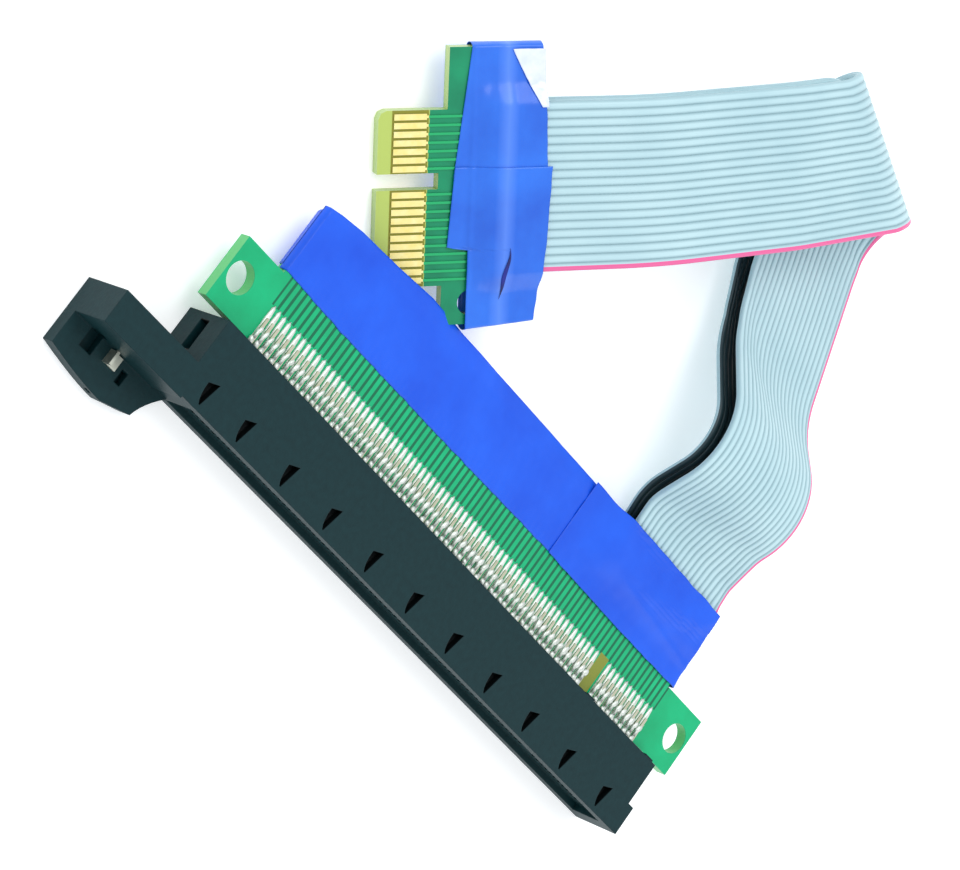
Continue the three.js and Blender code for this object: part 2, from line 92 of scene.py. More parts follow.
def along(table, value):
    if value <= table[0][0]:
        return table[0][1]
    for (x0, y0), (x1, y1) in zip(table, table[1:]):
        if value <= x1:
            return y0 + (y1 - y0) * (value - x0) / (x1 - x0)
    return table[-1][1]


def ripple(x, y, seed, scale):
    return noise.noise(Vector((x * scale, y * scale, seed)))


def color(r, g, b):
    def linear(c):
        c /= 255.0
        return c / 12.92 if c <= 0.04045 else ((c + 0.055) / 1.055) ** 2.4
    return (linear(r), linear(g), linear(b), 1.0)


def asObject(bm, name, look, smoothed=True):
    name = name.replace(" ", "_")
    mesh = bpy.data.meshes.new(name)
    bmesh.ops.recalc_face_normals(bm, faces=bm.faces[:])
    for face in bm.faces:
        face.smooth = smoothed
    bm.to_mesh(mesh)
    bm.free()
    piece = bpy.data.objects.new(name, mesh)
    scene.collection.objects.link(piece)
    mesh.materials.append(look)
    return piece


def sheetPiece(name, place, columns, rows, gauge, look):
    # place gives a point for u and v from 0 to 1
    bm = bmesh.new()
    bmesh.ops.create_grid(bm, x_segments=columns, y_segments=rows, size=0.5)
    for vert in bm.verts:
        vert.co = toRow(place(vert.co.x + 0.5, vert.co.y + 0.5))
    bmesh.ops.solidify(bm, geom=bm.faces[:], thickness=gauge * millimetre)
    return asObject(bm, name, look)


# Materials

finish = {
    "cloudDetail": 5.0,
    "cloudSpan": (0.25, 0.75),
    "bumpDetail": 4.0,
    "bumpDepth": 0.1,
    "coatRough": 0.15,
    "edgeSamples": 4,
}


def surface(name, base, rough=0.5, metal=0.0, other=None, scale=300.0, bump=0.0,
            bumpScale=900.0, coat=0.0, edgeRound=0.0, shine=0.5, glow=0.0):
    material = bpy.data.materials.new(name)
    material.use_nodes = True
    nodes = material.node_tree.nodes
    links = material.node_tree.links
    shader = nodes["Principled BSDF"]
    coords = nodes.new("ShaderNodeTexCoord")
    cloud = nodes.new("ShaderNodeTexNoise")
    cloud.inputs["Scale"].default_value = scale
    cloud.inputs["Detail"].default_value = finish["cloudDetail"]
    links.new(coords.outputs["Object"], cloud.inputs["Vector"])
    ramp = nodes.new("ShaderNodeValToRGB")
    tones = zip(ramp.color_ramp.elements, finish["cloudSpan"], (base, other or base))
    for element, position, tint in tones:
        element.position = position
        element.color = tint
    links.new(cloud.outputs["Fac"], ramp.inputs["Fac"])
    links.new(ramp.outputs["Color"], shader.inputs["Base Color"])
    shader.inputs["Roughness"].default_value = rough
    shader.inputs["Metallic"].default_value = metal
    shader.inputs["Specular IOR Level"].default_value = shine
    shader.inputs["Coat Weight"].default_value = coat
    shader.inputs["Coat Roughness"].default_value = finish["coatRough"]
    shader.inputs["Emission Color"].default_value = base
    shader.inputs["Emission Strength"].default_value = glow
    normal = None
    if edgeRound:
        edge = nodes.new("ShaderNodeBevel")
        edge.samples = finish["edgeSamples"]
        edge.inputs["Radius"].default_value = edgeRound * millimetre
        normal = edge.outputs["Normal"]
    if bump:
        fine = nodes.new("ShaderNodeTexNoise")
        fine.inputs["Scale"].default_value = bumpScale
        fine.inputs["Detail"].default_value = finish["bumpDetail"]
        links.new(coords.outputs["Object"], fine.inputs["Vector"])
        relief = nodes.new("ShaderNodeBump")
        relief.inputs["Strength"].default_value = bump
        relief.inputs["Distance"].default_value = finish["bumpDepth"] * millimetre
        links.new(fine.outputs["Fac"], relief.inputs["Height"])
        if normal:
            links.new(normal, relief.inputs["Normal"])
        normal = relief.outputs["Normal"]
    if normal:
        links.new(normal, shader.inputs["Normal"])
    return material


def chain(material):
    return material.node_tree.nodes, material.node_tree.links


def addMath(material, kind, a, b=None):
    nodes, links = chain(material)
    node = nodes.new("ShaderNodeMath")
    node.operation = kind
    for socket, value in zip(node.inputs, (a, b)):
        if value is None:
            continue
        if isinstance(value, (int, float)):
            socket.default_value = value
        else:
            links.new(value, socket)
    return node.outputs[0]


def between(material, value, low, high):
    above = addMath(material, "GREATER_THAN", value, low)
    below = addMath(material, "LESS_THAN", value, high)
    return addMath(material, "MULTIPLY", above, below)


def insideBox(material, axes, box):
    # 1 inside the limits that the box gives for some of the axes
    inside = None
    for value, key in zip(axes, "xyz"):
        if key in box:
            one = between(material, value, *box[key])
            inside = one if inside is None else addMath(material, "MULTIPLY", inside, one)
    return inside


def paintOver(material, factor, tint):
    # Mixes a flat colour over what the base colour has now
    nodes, links = chain(material)
    shader = nodes["Principled BSDF"]
    socket = shader.inputs["Base Color"]
    before = socket.links[0].from_socket
    mix = nodes.new("ShaderNodeMix")
    mix.data_type = "RGBA"
    links.new(factor, mix.inputs[0])
    links.new(before, mix.inputs[6])
    mix.inputs[7].default_value = tint
    links.new(mix.outputs[2], socket)


def localAxes(material, place=None, turn=None):
    # X, Y and Z in millimetres, in a turned part's own frame if one is given
    nodes, links = chain(material)
    coords = nodes.new("ShaderNodeTexCoord")
    mapping = nodes.new("ShaderNodeMapping")
    mapping.vector_type = "TEXTURE"
    mapping.inputs["Location"].default_value = toRow(place or Vector((0, 0, 0)))
    mapping.inputs["Rotation"].default_value = turn or (0, 0, 0)
    mapping.inputs["Scale"].default_value = (millimetre,) * 3
    links.new(coords.outputs["Object"], mapping.inputs["Vector"])
    split = nodes.new("ShaderNodeSeparateXYZ")
    links.new(mapping.outputs["Vector"], split.inputs["Vector"])
    return split.outputs[:3]


def paintBoxes(material, axes, marks):
    for box, tint in marks.values():
        paintOver(material, insideBox(material, axes, box), tint)


plug = {
    "place": Vector((-1.83, 28.66, -2.97)),
    "angles": {"X": 13.88, "Y": -13.41, "Z": 45.83},
}
plugTurn = Matrix.Identity(4)
for axis, degrees in plug["angles"].items():
    plugTurn = plugTurn @ Matrix.Rotation(math.radians(degrees), 4, axis)
plugMatrix = Matrix.Translation(plug["place"]) @ plugTurn
plug["turn"] = plugTurn.to_euler("XYZ")


def onPlug(x, y, z):
    return plugMatrix @ Vector((x, y, z))


blackPlastic = surface("Black plastic", color(5, 40, 44), rough=0.5, other=color(9, 47, 51),
                       scale=1200.0, bump=0.25, bumpScale=2500.0, edgeRound=0.18, shine=0.22)
blueTape = surface("Blue tape", color(12, 78, 214), rough=0.38, other=color(22, 94, 232), scale=160.0,
                   bump=0.12, bumpScale=500.0, coat=0.08, shine=0.3)
plugBlue = surface("Plug tape", color(22, 88, 206), rough=0.34, other=color(38, 118, 236), scale=130.0,
                   bump=0.16, bumpScale=420.0, coat=0.25, shine=0.4)
greenBoard = surface("Green board", color(0, 164, 106), rough=0.35, other=color(0, 184, 122),
                     scale=260.0, bump=0.1, bumpScale=1500.0, coat=0.08, shine=0.3)
plugGreen = surface("Plug board", color(0, 122, 84), rough=0.35, other=color(12, 150, 102),
                    scale=260.0, bump=0.1, bumpScale=1500.0, coat=0.1, shine=0.35)
tin = surface("Solder", color(196, 202, 192), rough=0.36, metal=0.55, other=color(238, 242, 236),
              scale=1400.0, bump=0.35, bumpScale=2200.0)
gold = surface("Gold", color(250, 226, 128), rough=0.32, metal=0.35, other=color(255, 242, 176),
               scale=900.0, bump=0.08)
copper = surface("Copper", color(205, 140, 96), rough=0.35, metal=0.9, other=color(225, 165, 120),
                 scale=700.0)
steel = surface("Steel", color(206, 206, 190), rough=0.3, metal=0.9, other=color(235, 235, 220),
                scale=900.0)
contactMetal = surface("Contact", color(190, 186, 160), rough=0.35, metal=0.9, other=color(215, 210, 190),
                       scale=900.0)
clearFilm = surface("Clear film", color(196, 210, 246), rough=0.16, other=color(240, 244, 255),
                    scale=350.0, bump=0.6, bumpScale=350.0, coat=0.6)

# Shaded hollows of the housing, the same above and below the board
housingMarks = {
    "pockets": ({"x": (-3.4, 85.0), "y": (-11.7, -8.2), "z": (2.55, 3.7)}, color(2, 8, 10)),
    "end groove": ({"x": (-6.3, -4.2), "y": (-7.3, -3.2), "z": (-0.78, 0.78)}, color(2, 8, 10)),
}
housingX, housingY, housingZ = localAxes(blackPlastic)
anySide = addMath(blackPlastic, "ABSOLUTE", housingZ)
paintBoxes(blackPlastic, (housingX, housingY, anySide), housingMarks)

# Copper lines under the green between pads and tape, the bare gap at the key and the cut edges
tracks = {
    "shift": 100.3,
    "pad": 0.6,
    "area": {"x": (-0.6, 83.6), "y": (3.3, 9.0)},
    "tint": color(0, 104, 70),
}
boardMarks = {
    "key gap": ({"x": (70.6, 72.4), "y": (-1.6, 3.5)}, color(132, 140, 52)),
    "edges": ({"z": (-0.72, 0.72)}, color(96, 190, 116)),
}
boardAxes = localAxes(greenBoard)
lines = addMath(greenBoard, "FRACT", addMath(greenBoard, "ADD", boardAxes[0], tracks["shift"]))
gap = addMath(greenBoard, "GREATER_THAN", lines, tracks["pad"])
gap = addMath(greenBoard, "MULTIPLY", gap, insideBox(greenBoard, boardAxes, tracks["area"]))
paintOver(greenBoard, gap, tracks["tint"])
paintBoxes(greenBoard, boardAxes, boardMarks)

# The tongue is bare laminate, darker between the fingers
plugMarks = {
    "tongue": ({"x": (-0.5, 6.1)}, color(182, 200, 100)),
    "between fingers": ({"x": (1.6, 6.0)}, color(136, 134, 40)),
    "edges": ({"z": (-0.72, 0.72)}, color(170, 195, 120)),
}
paintBoxes(plugGreen, localAxes(plugGreen, plug["place"], plug["turn"]), plugMarks)

# Behind the fingers the traces run under the green
traceStart = 5.95
fingerX = localAxes(gold, plug["place"], plug["turn"])[0]
paintOver(gold, addMath(gold, "GREATER_THAN", fingerX, traceStart), color(36, 176, 108))

# A painted highlight: a soft light streak where the plug's tape bends over the ribbon
paintedSheen = {"at": 15.3, "fall": 0.75, "strength": 0.3, "tint": color(130, 170, 255)}
paintedSheenX = localAxes(plugBlue, plug["place"], plug["turn"])[0]
paintedSheenBand = addMath(plugBlue, "ABSOLUTE", addMath(plugBlue, "SUBTRACT", paintedSheenX, paintedSheen["at"]))
paintedSheenBand = addMath(plugBlue, "SUBTRACT", 1.0, addMath(plugBlue, "MULTIPLY", paintedSheenBand, paintedSheen["fall"]))
paintedSheenBand = addMath(plugBlue, "MULTIPLY", addMath(plugBlue, "MAXIMUM", paintedSheenBand, 0.0), paintedSheen["strength"])
paintOver(plugBlue, paintedSheenBand, paintedSheen["tint"])
print("stage: materials")

# Ribbons, bent as in the solid part

ribbon = {
    "start": (20.0, -8.45),
    "spacing": 1.35,
    "from": -3.0,
    "to": 124.0,
    "step": 0.75,
    "width": 20.0,
    "gauge": 0.9,
    "conductors": 20,
    "facets": (-0.5, -0.43, -0.3, 0.0, 0.3, 0.43),    # points over one conductor
    "web": 0.55,               # height between two conductors, as a share
    "pathTo": 123.8,
    "pathSteps": 44,
    "bends": [                 # place, turn, radius and slant
        (14.4, 16.8, 34.0, 4.8),
        (35.9, 8.6, 25.0, -0.2),
        (57.2, 180.0, 4.6, 29.7),
        (71.9, 4.7, 30.0, 3.2),
        (90.2, 29.3, 14.0, 17.0),
        (103.6, -79.0, 8.0, 7.9),
        (112.0, 15.3, 8.0, -4.8),
        (116.3, 16.2, 7.0, 8.7),
        (120.6, 14.9, 6.0, 0.0),
    ],
}


def bendStrip(point, bend):
    at, turn, radius, slant = bend
    side = math.copysign(1.0, turn)
    sweep = abs(math.radians(turn))
    arc = sweep * radius
    c = math.cos(math.radians(slant))
    s = math.sin(math.radians(slant))
    x = point.x - at
    run = x * c + point.y * s + arc / 2
    across = point.y * c - x * s
    angle = min(max(run / radius, 0.0), sweep)
    past = max(run - arc, 0.0)
    reach = radius + side * point.z
    ahead = min(run, 0.0) + reach * math.sin(angle) + past * math.cos(angle) - arc / 2
    height = side * (reach * math.cos(angle) - past * math.sin(angle) - radius)
    return Vector((ahead * c - across * s + at, ahead * s + across * c, height))


def onRibbon(s, y, z):
    point = Vector((s, y, z))
    for bend in reversed(ribbon["bends"]):
        point = bendStrip(point, bend)
    point = onPlug(point.x + ribbon["start"][0], point.y + ribbon["start"][1], point.z)
    point.z = max(point.z, -rowShift.z)
    return point


def ribbonSection():
    # A closed loop over the top and back under, with a round bulge for each conductor
    count = ribbon["conductors"]
    pitch = ribbon["width"] / count
    half = ribbon["gauge"] / 2
    top = []
    for i in range(count):
        for u in ribbon["facets"]:
            outer = (i == 0 and u < 0) or (i == count - 1 and u > 0)
            web = 0.0 if outer else ribbon["web"]
            bulge = math.sqrt(max(1.0 - 4.0 * u * u, 0.0))
            top.append(((i - count / 2 + 0.5 + u) * pitch, half * (web + (1.0 - web) * bulge)))
    under = [(-y, -z) for y, z in top]
    return top + under


ribbonLook = {
    "light": color(176, 208, 216),
    "lighter": color(192, 221, 227),
    # painted shade in the grooves between the conductors
    "groove": color(120, 156, 166),
    "grooveFrom": 0.16,
    "grooveRise": 2.6,
    "grooveDepth": 0.8,
    "shade": color(34, 56, 62),      # between the two ribbons, on the run after the fold
    "shadeFrom": 66.0,
    "shadeAbove": 0.2,
    "firstWire": color(232, 96, 154),
    "firstWireTo": -9.35,
    "manyPitches": 40.0,
}


def ribbonMaterial(name, facing):
    # facing is the side of the strip that lies against the other ribbon
    material = surface(name, ribbonLook["light"], rough=0.42, other=ribbonLook["lighter"], scale=90.0,
                       bump=0.1, bumpScale=1200.0)
    nodes, links = chain(material)
    strip = nodes.new("ShaderNodeAttribute")
    strip.attribute_name = "strip"
    split = nodes.new("ShaderNodeSeparateXYZ")
    links.new(strip.outputs["Vector"], split.inputs["Vector"])
    s, across, height = split.outputs[:3]
    # Painted shade darkens the grooves between the conductors
    phase = addMath(material, "FRACT", addMath(material, "ADD", across, ribbonLook["manyPitches"]))
    off = addMath(material, "ABSOLUTE", addMath(material, "SUBTRACT", phase, 0.5))
    groove = addMath(material, "SUBTRACT", off, ribbonLook["grooveFrom"])
    groove = addMath(material, "MULTIPLY", groove, ribbonLook["grooveRise"])
    groove = addMath(material, "MAXIMUM", groove, 0.0)
    groove = addMath(material, "MULTIPLY", groove, ribbonLook["grooveDepth"])
    paintOver(material, groove, ribbonLook["groove"])
    hidden = addMath(material, "MULTIPLY", height, facing)
    hidden = addMath(material, "GREATER_THAN", hidden, ribbonLook["shadeAbove"])
    lowRun = addMath(material, "GREATER_THAN", s, ribbonLook["shadeFrom"])
    paintOver(material, addMath(material, "MULTIPLY", hidden, lowRun), ribbonLook["shade"])
    firstWire = addMath(material, "LESS_THAN", across, ribbonLook["firstWireTo"])
    paintOver(material, firstWire, ribbonLook["firstWire"])
    return material


def makeRibbon(name, height, material):
    section = ribbonSection()
    length = ribbon["to"] - ribbon["from"]
    steps = round(length / ribbon["step"])
    around = len(section)
    bm = bmesh.new()
    strip = bm.verts.layers.float_vector.new("strip")
    bmesh.ops.create_grid(bm, x_segments=steps, y_segments=around, size=0.5)
    for vert in bm.verts:
        s = ribbon["from"] + length * (vert.co.x + 0.5)
        y, z = section[round((vert.co.y + 0.5) * around) % around]
        vert[strip] = (s, y, z)
        vert.co = toRow(onRibbon(s, y, z + height))
    bmesh.ops.remove_doubles(bm, verts=bm.verts[:], dist=1e-7)
    bmesh.ops.holes_fill(bm, edges=bm.edges[:], sides=around + 4)
    return asObject(bm, name, material)


ribbonGrey = ribbonMaterial("Ribbon", -1.0)
ribbonOther = ribbonMaterial("Ribbon two", 1.0)
spacing = ribbon["spacing"]
outerRibbon = makeRibbon("outer ribbon", spacing, ribbonGrey)
innerRibbon = makeRibbon("inner ribbon", -spacing, ribbonOther)
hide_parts("ribbon_outer")
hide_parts("ribbon_inner")
for piece in (outerRibbon, innerRibbon):
    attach(piece, "root")
print("stage: ribbons")


def ribbonPath(height):
    # The ribbon's middle line, from the slot end to the plug end
    first, last, count = ribbon["from"], ribbon["pathTo"], ribbon["pathSteps"]
    return [toRow(onRibbon(last + (first - last) * i / count, 0.0, height)) for i in range(count + 1)]


# How the slot tape finds the ribbons under it
reach = {
    "from": 108.0,
    "along": 65,
    "across": 81,
    "step": 0.25,
    "cells": 2,                # to a millimetre
    "around": 4,
    "clearance": 0.35,
    "fade": 0.6,
    "none": -9.0,
}


def ribbonReach(height, side):
    # How far a ribbon stands out near the slot board, cell by cell
    cells = {}
    half = ribbon["gauge"] / 2
    for i in range(reach["along"]):
        for j in range(reach["across"]):
            across = j * reach["step"] - ribbon["width"] / 2
            point = onRibbon(reach["from"] + i * reach["step"], across, height + side * half)
            cell = (round(point.x * reach["cells"]), round(point.y * reach["cells"]))
            cells[cell] = max(cells.get(cell, reach["none"]), -side * point.z)
    return cells


def lifted(cells, x, y, base):
    # The tape's height, raised softly over the ribbon
    around = range(-reach["around"], reach["around"] + 1)
    cellX = math.floor(x * reach["cells"])
    cellY = math.floor(y * reach["cells"])
    near = [cells.get((cellX + i, cellY + j)) for i in around for j in around]
    found = [z for z in near if z is not None]
    if not found:
        return base
    goal = max(base, sum(found) / len(found) + reach["clearance"])
    return base + (goal - base) * smooth(0.0, reach["fade"], len(found) / len(near))


upperReach = ribbonReach(-spacing, -1.0)
lowerReach = ribbonReach(spacing, 1.0)

# Slot board tape

slotTape = {
    "front": [(-3, 7.2), (10, 6.9), (30, 7.0), (54, 7.3), (70, 7.1), (84, 7.2)],
    "back": [(-2.0, 16.1), (0.2, 16.6), (3.7, 17.1), (10.7, 17.5), (17.4, 18.1), (24, 17.9), (54, 17.8),
             (84, 17.4)],
    "boardBack": 15.5,
    "start": -2.05,
    "seam": 53.9,
    "leftEnd": 56.5,
    "rightEnd": [(6.6, 84.1), (13.6, 82.9), (17.4, 82.2)],
    "gauge": 0.1,
    "leftHeight": 0.9,
    "rightHeight": 1.05,
    "rise": 0.9,               # of the right tape over the ribbons
    "lowest": 3.6,
    "folds": (0.55, 0.7, 0.78),    # shares of the left tape: over, tucked in, down the board's edge
    "droop": 0.12,
    "tuck": 0.3,
    "edgeTop": 0.5,
    "edgeDrop": 1.45,
    "under": -0.98,
    "lip": 0.6,
    "closedEnd": 0.004,
    "closedAt": -0.1,
    "turn": (0.48, 0.52),      # where the right tape goes round its end
    "bulge": 0.25,
}


def leftTapeHeight(x, y):
    # Wrinkles, the pads that show through at the front, and a ridge at the board's back edge
    lift = slotTape["leftHeight"] + 0.05 * ripple(x, y, 3.0, 0.25) + 0.03 * ripple(x, y, 8.0, 0.9)
    lift += 0.012 * math.sin(x * 2 * math.pi) * (1.0 - smooth(8.0, 10.0, y))
    lift += 0.12 * smooth(15.0, 17.0, y) * ripple(x, 0.0, 1.0, 0.2)
    return lift + 0.06 * math.exp(-((y - 15.4) / 0.5) ** 2) - 0.22 * smooth(15.5, 17.5, y)


def leftTape(u, v):
    x = slotTape["start"] + (slotTape["leftEnd"] - slotTape["start"]) * u
    front = along(slotTape["front"], x) + 0.12 * ripple(x, 0, 5.0, 0.6)
    back = along(slotTape["back"], x)
    edge = min(slotTape["boardBack"], back)
    over, tucked, down = slotTape["folds"]
    if v < over:
        y = front + (back - front) * v / over
        z = leftTapeHeight(x, y) - slotTape["droop"] * smooth(over - 0.05, over, v)
    elif v < tucked:
        t = (v - over) / (tucked - over)
        y = back + (edge - back) * t
        z = leftTapeHeight(x, back) - slotTape["tuck"] - 0.1 * t
    elif v < down:
        y = edge
        z = slotTape["edgeTop"] - slotTape["edgeDrop"] * (v - tucked) / (down - tucked)
    else:
        y = edge + (front + slotTape["lip"] - edge) * (v - down) / (1.0 - down)
        z = slotTape["under"]
    closed = 1.0 - smooth(0.0, slotTape["closedEnd"], u)
    return Vector((x, y, z + (slotTape["closedAt"] - z) * closed))


def rightTapeHeight(x, y):
    over = smooth(55.5, 63.5, x) * smooth(8.2, 13.5, y)
    wrinkles = 0.05 * ripple(x, y, 2.0, 0.3) + 0.03 * ripple(x, y, 4.0, 0.7)
    crease = 0.14 * math.exp(-((x - 80.4 + 0.25 * (y - 12.0)) / 0.5) ** 2) * smooth(12.0, 15.0, y)
    fold = 0.1 * math.exp(-((y - 11.2 + 0.1 * (x - 70.0)) / 0.5) ** 2) * smooth(64.0, 70.0, x)
    return slotTape["rightHeight"] + slotTape["rise"] * over + wrinkles + crease + fold


def rightTape(u, v):
    # Over both ribbons, round the free end and back on the underside
    out, home = slotTape["turn"]
    seam = slotTape["seam"]
    end = along(slotTape["rightEnd"], 7.0 + 10.6 * v)
    x = seam + (end - seam) * min(u / out, 1.0)
    if u > home:
        x = end + (seam - end) * (u - home) / (1.0 - home)
    front = along(slotTape["front"], x) - 0.1 + 0.1 * ripple(x, 0, 6.0, 0.5)
    back = along(slotTape["back"], x) + 0.15 * ripple(x, 0, 9.0, 0.3)
    y = front + (back - front) * v
    base = rightTapeHeight(x, y)
    top = lifted(upperReach, x, y, base)
    under = -min(lifted(lowerReach, x, y, base), slotTape["lowest"])
    if u <= out:
        return Vector((x, y, top))
    if u >= home:
        return Vector((x, y, under))
    t = (u - out) / (home - out)
    return Vector((x + slotTape["bulge"] * math.sin(math.pi * t), y, top + (under - top) * t))


leftTapePiece = sheetPiece("tape on slot left", leftTape, columns=240, rows=70,
                           gauge=slotTape["gauge"], look=blueTape)
rightTapePiece = sheetPiece("tape on slot right", rightTape, columns=220, rows=60,
                            gauge=slotTape["gauge"], look=blueTape)
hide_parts("slot_tape_left")
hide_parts("slot_tape_right")

# Plug tape

plugTape = {
    "seam": -5.9,
    "overlap": 1.2,
    "gauge": 0.1,
    "height": 1.02,
    "rise": 0.98,              # over the ribbon
    "turn": (0.47, 0.53),      # where a tape goes round the end of the plug
    "bulge": 0.35,
    "slope": 0.09,             # of the lower end
}
upperTape = {
    "end": 8.0,
    "front": [(-8.0, 9.1), (8.6, 11.0)],
    "back": [(-7.0, 20.3), (1.1, 19.9), (8.2, 19.5)],
    "seed": 11.0,
    "lift": 0.0,
}
lowerTape = {
    "end": -24.9,
    "front": [(-26.0, 11.2), (-15.5, 11.15), (-15.35, 8.65), (-5.0, 9.35)],
    "back": [(-25.0, 19.6), (-20.0, 20.0), (-15.0, 20.5), (-5.9, 20.8)],
    "seed": 21.0,
    "lift": 0.16,
}


def plugTapeHeight(x, y, seed):
    # Wrinkles, a ridge where the ribbon begins and a step at the board's traces
    across = smooth(-21.0, -18.0, y) * (1.0 - smooth(1.0, 4.0, y))
    over = smooth(10.5, 14.5, x) * across
    wrinkles = 0.05 * ripple(x, y, seed, 0.25) + 0.05 * ripple(x * 2.2, y * 0.6, seed + 5, 0.5)
    ridge = 0.22 * math.exp(-((x - 15.2) / 0.9) ** 2) * (0.7 + 0.6 * ripple(0, y, seed + 2, 0.3))
    step = 0.1 * math.exp(-((x - 11.3) / 0.25) ** 2)
    loose = 0.25 * (1.0 - across) * smooth(10.0, 16.0, x) * ripple(x, y, seed + 9, 0.2)
    return plugTape["height"] + plugTape["rise"] * over + wrinkles + ridge + step + loose


def plugSleeve(u, v, tape, near):
    # A sheet from the seam round one end of the plug and back on the other face
    out, home = plugTape["turn"]
    end = tape["end"]
    y = near + (end - near) * min(u / out, 1.0)
    if u > home:
        y = end + (near - end) * (u - home) / (1.0 - home)
    start = along(tape["front"], y)
    back = along(tape["back"], y) + 0.15 * ripple(y, 0, tape["seed"], 0.4)
    x = start + (back - start) * v
    if end < near:
        y += plugTape["slope"] * (x - 11.0) * smooth(-20.0, -25.0, y)
    top = plugTapeHeight(x, y, tape["seed"]) + tape["lift"]
    if u <= out:
        return onPlug(x, y, top)
    if u >= home:
        return onPlug(x, y, -top)
    t = (u - out) / (home - out)
    side = math.copysign(plugTape["bulge"], end - near)
    return onPlug(x, y + side * math.sin(math.pi * t), top * (1.0 - 2.0 * t))


def upperSleeve(u, v):
    return plugSleeve(u, v, upperTape, plugTape["seam"] - plugTape["overlap"])


def lowerSleeve(u, v):
    return plugSleeve(u, v, lowerTape, plugTape["seam"])


upperTapePiece = sheetPiece("tape on plug upper", upperSleeve, columns=150, rows=60,
                            gauge=plugTape["gauge"], look=plugBlue)
lowerTapePiece = sheetPiece("tape on plug lower", lowerSleeve, columns=200, rows=60,
                            gauge=plugTape["gauge"], look=plugBlue)
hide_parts("plug_tape_upper")
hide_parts("plug_tape_lower")


# The clear corner narrows to a point along the plug's edge
clearTape = {"from": 7.6, "length": 6.6, "width": 3.9, "narrowing": 0.8, "proud": 0.16, "gauge": 0.08}


def clearCorner(u, v):
    y = clearTape["from"] - clearTape["length"] * u
    width = clearTape["width"] * (1.0 - clearTape["narrowing"] * u)
    x = along(upperTape["back"], y) + 0.15 - width * (1.0 - v)
    top = plugTapeHeight(x, y, upperTape["seed"]) + clearTape["proud"]
    top += 0.12 * abs(ripple(x, y, 31.0, 0.9)) + 0.1 * math.exp(-((y - 4.6 - 0.8 * x + 15.0) / 0.5) ** 2)
    return onPlug(x, y, top)


clearPiece = sheetPiece("tape on plug clear", clearCorner, columns=40, rows=24,
                        gauge=clearTape["gauge"], look=clearFilm)
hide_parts("plug_tape_clear")


tear = {
    "from": (16.0, -15.3),
    "to": (15.1, -21.5),
    "width": 0.5,
    "tip": 0.03,
    "proud": 0.275,
    "gauge": 0.02,
}


def tearStrip(u, v):
    (x0, y0), (x1, y1) = tear["from"], tear["to"]
    wide = tear["width"] * math.sin(math.pi * u) ** 1.4 + tear["tip"]
    x = x0 + (x1 - x0) * u + (v - 0.5) * wide + 0.15 * math.sin(u * 9.0)
    y = y0 + (y1 - y0) * u
    return onPlug(x, y, plugTapeHeight(x, y, lowerTape["seed"]) + tear["proud"])


tearDark = surface("Tear", color(8, 24, 140), rough=0.6, other=color(4, 10, 70), scale=500.0)
tearPiece = sheetPiece("tear in tape", tearStrip, columns=30, rows=4, gauge=tear["gauge"], look=tearDark)
print("stage: tapes")

# Contact tails and solder on the slot board

slotRow = {"count": 82, "near": 11, "pitch": 1.0, "gap": 3.0}


def slotPlaces():
    first = slotRow["count"] - slotRow["near"]
    step = slotRow["gap"] - slotRow["pitch"]
    return [i * slotRow["pitch"] + (step if i >= first else 0.0) for i in range(slotRow["count"])]


def addBlob(bm, middle, size, turn=0.0):
    matrix = Matrix.Translation(toRow(middle)) @ Matrix.Rotation(turn, 4, "Z")
    matrix = matrix @ Matrix.Diagonal((*(s * millimetre for s in size), 1.0))
    bmesh.ops.create_uvsphere(bm, u_segments=10, v_segments=7, radius=1.0, matrix=matrix)


def addBar(bm, start, end, width, gauge):
    middle = (start + end) / 2
    length = (end - start).length
    direction = (end - start).normalized()
    turn = direction.to_track_quat("Y", "Z").to_matrix().to_4x4()
    size = Matrix.Diagonal((width * millimetre, length * millimetre, gauge * millimetre, 1.0))
    bmesh.ops.create_cube(bm, size=1.0, matrix=Matrix.Translation(toRow(middle)) @ turn @ size)


tail = {
    "width": 0.36,
    "gauge": 0.26,
    "back": -2.6,              # where it leaves the housing
    "knee": -1.1,
    "tip": 0.9,
    "solder": 0.34,            # half the height of a joint
    "messyFrom": 20.0,         # the joints get less even towards the key
    "messyTo": 62.0,
}


def makeTails(name, side, seed):
    dice = random.Random(seed)
    bm = bmesh.new()
    for x in slotPlaces():
        messy = smooth(tail["messyFrom"], tail["messyTo"], x)
        sway = dice.uniform(-0.06, 0.06) * (1.0 + 1.5 * messy)
        high = Vector((x - 0.12, tail["back"], side * 1.12))
        knee = Vector((x - 0.16 + sway, tail["knee"], side * (1.16 + dice.uniform(0, 0.06))))
        tip = Vector((x + 0.08 - sway, tail["tip"] + dice.uniform(-0.2, 0.2), side * 1.02))
        addBar(bm, high, knee, tail["width"], tail["gauge"])
        addBar(bm, knee, tip, tail["width"], tail["gauge"])
        wide = 0.3 + dice.uniform(0.0, 0.12) * (0.4 + messy)
        long = dice.uniform(0.6, 0.85)
        addBlob(bm, Vector((x + 0.1 + sway, 0.1, side * 1.0)), (wide, long, tail["solder"]), -0.3 + sway)
        middle = Vector((x - 0.2 + sway, -1.35 - dice.uniform(0, 0.3), side * 1.08))
        addBlob(bm, middle, (wide, dice.uniform(0.4, 0.6), tail["solder"]), 0.35 + 2 * sway)
        addBlob(bm, Vector((x, 1.6, side * 0.86)), (0.38, 1.9, 0.24), 0.0)
    return asObject(bm, name, tin)


pad = {"front": -1.1, "length": 4.2, "unevenness": 0.1, "width": 0.6, "gauge": 0.07, "height": 0.83}


def makePads(name, side, seed):
    dice = random.Random(seed)
    bm = bmesh.new()
    for x in slotPlaces():
        end = pad["front"] + pad["length"] + dice.uniform(-pad["unevenness"], pad["unevenness"])
        near = Vector((x, pad["front"], side * pad["height"]))
        addBar(bm, near, Vector((x, end, side * pad["height"])), pad["width"], pad["gauge"])
    return asObject(bm, name, tin, False)


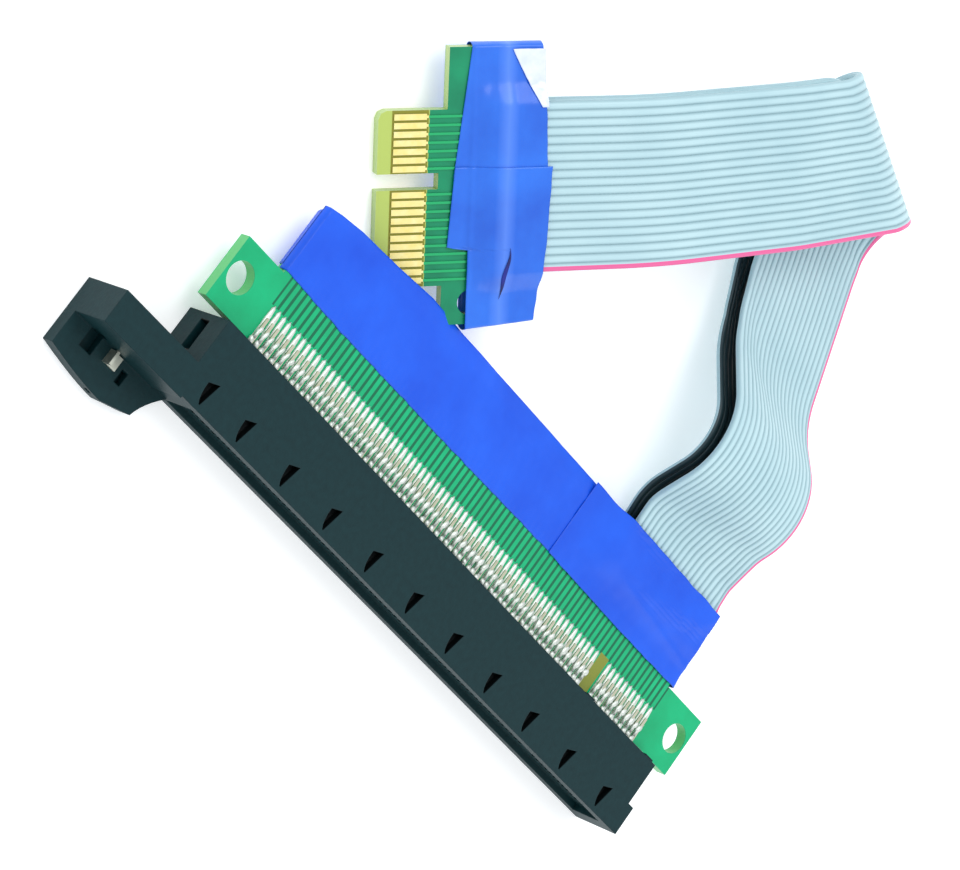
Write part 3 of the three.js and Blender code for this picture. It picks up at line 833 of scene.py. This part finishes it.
for side, word in ((1, "upper"), (-1, "lower")):
    tails = makeTails(f"slot tails {word}", side, 7 + side)
    pads = makePads(f"slot pads {word}", side, 3 + side)
    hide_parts(f"slot_traces_{word}")
    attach(tails, "root")
    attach(pads, "root")

for piece in (leftTapePiece, rightTapePiece, upperTapePiece, lowerTapePiece, tearPiece):
    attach(piece, "root")
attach(clearPiece, "root")
print("stage: solder")

# Solid nodes that stay as they are

nodeLooks = {
    "slot_housing": blackPlastic,
    "slot_contacts_upper": contactMetal,
    "slot_contacts_lower": contactMetal,
    "tail_clip": steel,
    "slot_board": greenBoard,
    "slot_traces_upper": tin,
    "slot_traces_lower": tin,
    "slot_wires_upper": copper,
    "slot_wires_lower": copper,
    "slot_tape_left": blueTape,
    "slot_tape_right": blueTape,
    "plug_board": plugGreen,
    "plug_fingers_front": gold,
    "plug_fingers_back": gold,
    "plug_wires_front": copper,
    "plug_wires_back": copper,
    "plug_tape_upper": blueTape,
    "plug_tape_lower": blueTape,
    "plug_tape_clear": clearFilm,
    "ribbon_outer": ribbonGrey,
    "ribbon_inner": ribbonOther,
}
for name, look in nodeLooks.items():
    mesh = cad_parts[name].data
    mesh.materials.clear()
    mesh.materials.append(look)

# The plug's pieces are listed with the outer ribbon, and each ribbon's middle line is worked out
plugPieces = [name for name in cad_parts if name.startswith("plug_")]
plugPieces += [piece.name for piece in (upperTapePiece, lowerTapePiece, clearPiece, tearPiece)]
ends = ((outerRibbon, spacing, "plug", plugPieces), (innerRibbon, -spacing, "object", ()))
for piece, height, farEnd, pieces in ends:
    path = ribbonPath(height)

# Floor and light

studio = {
    "floor": (0.92, 0.92, 0.92, 1.0),
    "floorOther": (0.93, 0.93, 0.93, 1.0),
    "floorGlow": 0.35,         # keeps the shadows light
    "floorSize": 3.0,
    "sky": (0.93, 0.97, 1.0, 1.0),
    "skyStrength": 1.0,
    "lamps": {                 # place, size and power
        "Key": ((-0.25, 0.35, 0.7), 0.5, 1.8),
        "Fill": ((0.6, -0.3, 0.5), 0.6, 0.9),
    },
}
floorWhite = surface("Floor", studio["floor"], rough=0.9, other=studio["floorOther"], scale=3.0,
                     glow=studio["floorGlow"])
bm = bmesh.new()
bmesh.ops.create_grid(bm, x_segments=1, y_segments=1, size=studio["floorSize"])
floor = asObject(bm, "floor", floorWhite, False)

world = bpy.data.worlds.new("Studio")
scene.world = world
world.use_nodes = True
background = world.node_tree.nodes["Background"]
background.inputs["Color"].default_value = studio["sky"]
background.inputs["Strength"].default_value = studio["skyStrength"]


def addLight(name, place, size, power):
    data = bpy.data.lights.new(name, "AREA")
    data.shape = "DISK"
    data.size = size
    data.energy = power
    lamp = bpy.data.objects.new(name, data)
    lamp.location = place
    lamp.rotation_euler = (-Vector(place)).to_track_quat("-Z", "Y").to_euler()
    scene.collection.objects.link(lamp)


for name, (place, size, power) in studio["lamps"].items():
    addLight(name, place, size, power)
scene.view_settings.view_transform = "Standard"
scene.view_settings.look = "None"
print("stage: light")
